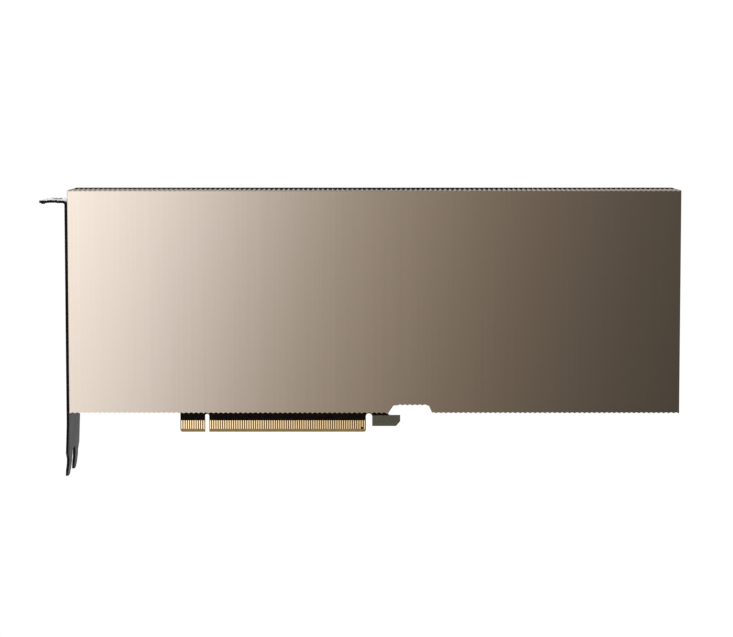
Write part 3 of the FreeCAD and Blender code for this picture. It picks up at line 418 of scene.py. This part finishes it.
def gradient_card(name, y, x0, x1, z0, z1, z_mid, slant, levels, tints, gain):
    """Light card in front of the cover: bright on the left, fading to the right
    along a slanted axis. levels are (x, natural log of brightness)."""
    m = bpy.data.materials.new(name)
    m.use_nodes = True
    t = m.node_tree
    t.nodes.clear()
    out = t.nodes.new("ShaderNodeOutputMaterial")
    em = t.nodes.new("ShaderNodeEmission")
    tc = t.nodes.new("ShaderNodeTexCoord")
    sp = t.nodes.new("ShaderNodeSeparateXYZ")
    t.links.new(tc.outputs["Object"], sp.inputs[0])

    def mth(op, a, b=None, c=None):
        n = t.nodes.new("ShaderNodeMath")
        n.operation = op
        for i, v in enumerate((a, b, c)):
            if v is None:
                continue
            if isinstance(v, (int, float)):
                n.inputs[i].default_value = v
            else:
                t.links.new(v, n.inputs[i])
        return n.outputs[0]

    zz = mth("SUBTRACT", sp.outputs["Z"], z_mid)
    sl = t.nodes.new("ShaderNodeMapRange")
    for k, v in zip(("From Min", "From Max", "To Min", "To Max"), slant):
        sl.inputs[k].default_value = v
    t.links.new(sp.outputs["X"], sl.inputs["Value"])
    xi = mth("SUBTRACT", sp.outputs["X"], mth("MULTIPLY", zz, sl.outputs["Result"]))
    a, b = levels[0][0], levels[-1][0]
    lo = min(v for _, v in levels)
    hi = max(v for _, v in levels)
    pos = mth("DIVIDE", mth("SUBTRACT", xi, a), b - a)

    def ramp(stops):
        r = t.nodes.new("ShaderNodeValToRGB")
        el = r.color_ramp.elements
        while len(el) > 1:
            el.remove(el[-1])
        el[0].position = stops[0][0]
        el[0].color = Mat.col(stops[0][1])
        for q, c in stops[1:]:
            e = el.new(q)
            e.color = Mat.col(c)
        t.links.new(pos, r.inputs["Fac"])
        return r.outputs["Color"]

    lv = ramp([((x - a) / (b - a), (v - lo) / (hi - lo)) for x, v in levels])
    ex = mth("EXPONENT", mth("MULTIPLY_ADD", lv, hi - lo, lo))
    t.links.new(mth("MULTIPLY", ex, gain), em.inputs["Strength"])
    t.links.new(ramp([((x - a) / (b - a), c) for x, c in tints]), em.inputs["Color"])
    t.links.new(em.outputs[0], out.inputs[0])
    o = plane(name, [(x0, y, z0), (x1, y, z0), (x1, y, z1), (x0, y, z1)], m)
    o.visible_camera = False
    o.visible_diffuse = False
    o.visible_shadow = False
    o.visible_transmission = False
    return o


def plain_card(name, y, x0, x1, z0, z1, power):
    """An even light card behind the object, for polished surfaces only."""
    m = bpy.data.materials.new(name)
    m.use_nodes = True
    t = m.node_tree
    t.nodes.clear()
    out = t.nodes.new("ShaderNodeOutputMaterial")
    em = t.nodes.new("ShaderNodeEmission")
    em.inputs["Color"].default_value = (1.0, 0.905, 0.845, 1.0)
    em.inputs["Strength"].default_value = power
    t.links.new(em.outputs[0], out.inputs[0])
    o = plane(name, [(x0, y, z0), (x1, y, z0), (x1, y, z1), (x0, y, z1)], m)
    o.visible_camera = False
    o.visible_diffuse = False
    o.visible_shadow = False
    o.visible_transmission = False
    return o


def only_for(light, *nodes):
    """Limits a light or a light card to some nodes."""
    c = bpy.data.collections.new(light.name + "_on")
    for k in nodes:
        c.objects.link(N[k])
    light.light_linking.receiver_collection = c


def soft_box(name, at, aim, size, power, nodes):
    """A rectangular soft light, seen only by the named nodes."""
    d = bpy.data.lights.new(name, "AREA")
    d.shape = "RECTANGLE"
    d.size, d.size_y = size
    d.energy = power
    o = bpy.data.objects.new(name, d)
    bpy.context.scene.collection.objects.link(o)
    o.location = at
    o.rotation_euler = (Vector(aim) - Vector(at)).to_track_quat("-Z", "Z").to_euler()
    o.visible_camera = False
    only_for(o, *nodes)
    return o


card = gradient_card("gradient_card", -0.185, -0.150, 0.80, -0.35, 0.55, 0.0454, (0.0, 0.11, 0.27, 0.20),
              [(-0.150, 0.21), (-0.0736, -0.19), (-0.0465, -0.37), (-0.0064, -0.755), (0.0338, -1.25), (0.0739, -1.60), (0.114, -2.01), (0.1642, -2.49), (0.2275, -3.09), (0.40, -3.5)],
              [(-0.150, (0.888, 1.0, 1.172)), (-0.0465, (0.888, 1.0, 1.164)), (-0.0064, (0.919, 1.0, 1.14)), (0.0338, (0.969, 1.0, 1.032)), (0.114, (1.052, 1.0, 0.905)), (0.1642, (1.025, 1.0, 0.952)), (0.2275, (0.991, 1.0, 1.002))],
              1.0 / 0.47)
only_for(card, "front_cover", "front_contacts")
rear = plain_card("rear_card", 0.90, -0.70, 0.85, -0.02, 0.30, 0.45)
only_for(rear, "front_cover")
soft_box("tab_light", (-0.10, 0.50, 0.19), (-0.064, -0.02, 0.106), (0.60, 0.16), 0.85, ("io_bracket",))
soft_box("left_fill", (-0.70, 0.18, 0.05), (-0.06, -0.015, 0.05), (0.30, 0.08), 2.5, ("io_bracket", "bracket_screws"))
soft_box("right_fill", (0.85, 0.15, 0.05), (0.21, -0.01, 0.05), (0.30, 0.08), 2.5,
         ("rear_end_frame", "base_frame", "power_connector", "power_pins", "end_frame_screws", "fin_stack"))
soft_box("back_fill", (0.02, 0.80, 0.30), (0.08, 0.004, 0.05), (0.90, 0.15), 5.0,
         ("backplate", "backplate_screws", "heatsink_screws", "back_contacts"))
soft_box("contact_light", (0.03, -0.16, -0.05), (0.03, 0.0, 0.004), (0.36, 0.16), 0.105, ("front_contacts",))

# ---------------------------------------------------------------------- camera
bpy.context.scene.view_settings.view_transform = "Standard"
cam = bpy.data.cameras.new("camera")
co = bpy.data.objects.new("camera", cam)
bpy.context.scene.collection.objects.link(co)
bpy.context.scene.camera = co
W_PX, H_PX = 733, 637
F_PX, CX, CY = 2368.0, 373.7, 299.7
THETA = math.radians(4.63)
cam.sensor_width = 36.0
cam.lens = F_PX / W_PX * 36.0
cam.shift_x = -(CX - W_PX / 2) / W_PX
cam.shift_y = (CY - H_PX / 2) / W_PX
co.location = (0.07572, -1.0685573, 0.1468505)
co.rotation_euler = (math.pi / 2 - THETA, 0, 0)
cam.clip_start, cam.clip_end = 0.01, 100.0
